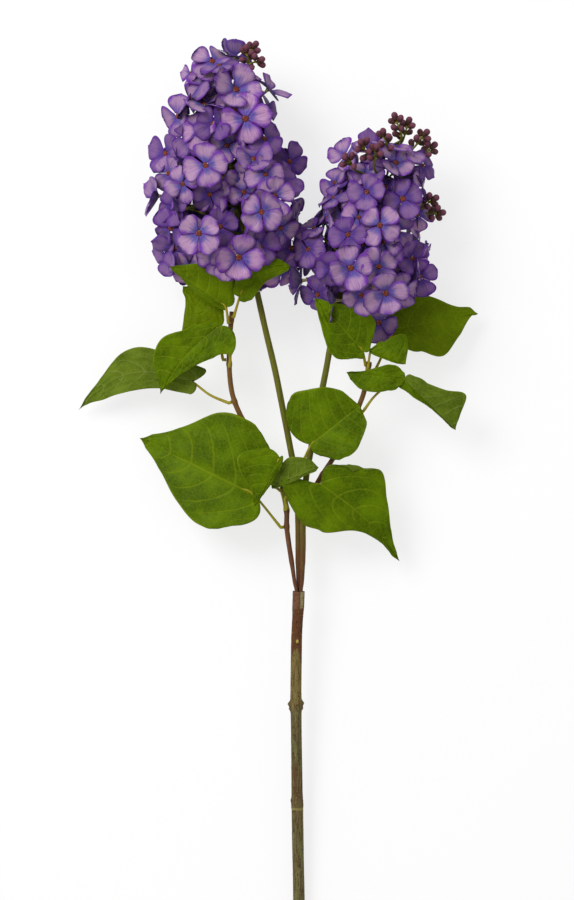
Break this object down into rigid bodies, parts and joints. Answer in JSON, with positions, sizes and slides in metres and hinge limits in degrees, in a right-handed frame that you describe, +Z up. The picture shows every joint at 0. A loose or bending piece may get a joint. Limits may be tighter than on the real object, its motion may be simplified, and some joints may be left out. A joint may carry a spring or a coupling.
{
  "type": "lilac stem",
  "caption": "Cut faux lilac spray that lies flat: a bark-covered stem, bare flower stems with open purple heads and small buds, and leafy twigs with heart-shaped leaves.",
  "frame": {"origin": "on the surface the spray lies on, under the middle of its bounding box", "axes": "+Y along the stem from its cut end towards the flower heads, +X to the right seen from above, +Z up from the surface"},
  "size_m": [0.3025, 0.6969, 0.1077],
  "materials": {
    "bark": "matte moulded bark, brown over olive",
    "green_stem": "satin olive green",
    "twig": "matte brown",
    "petal": "woven silk, pale lilac with purple edges",
    "leaf": "coated cloth, yellow green with pale veins"
  },
  "bodies": {
    "root": {"bark_stem": "bark", "flower_stem_left": "green_stem", "flower_stem_right": "green_stem", "leafy_twig_left": "twig", "leafy_twig_right": "twig", "panicle_left": "petal", "panicle_right": "petal", "leaf_low_left": "leaf", "leaf_front_left": "leaf", "leaf_front_turned": "leaf", "leaf_middle": "leaf", "leaf_low_right": "leaf", "leaf_pair_right": "leaf", "leaf_back_right": "leaf", "leaf_top_right": "leaf", "leaf_top_middle": "leaf", "leaf_top_left": "leaf", "leaf_top_second": "leaf", "leaf_mid_left": "leaf", "leaf_front_mid_left": "leaf", "leaf_far_left": "leaf"}
  },
  "joints": []
}
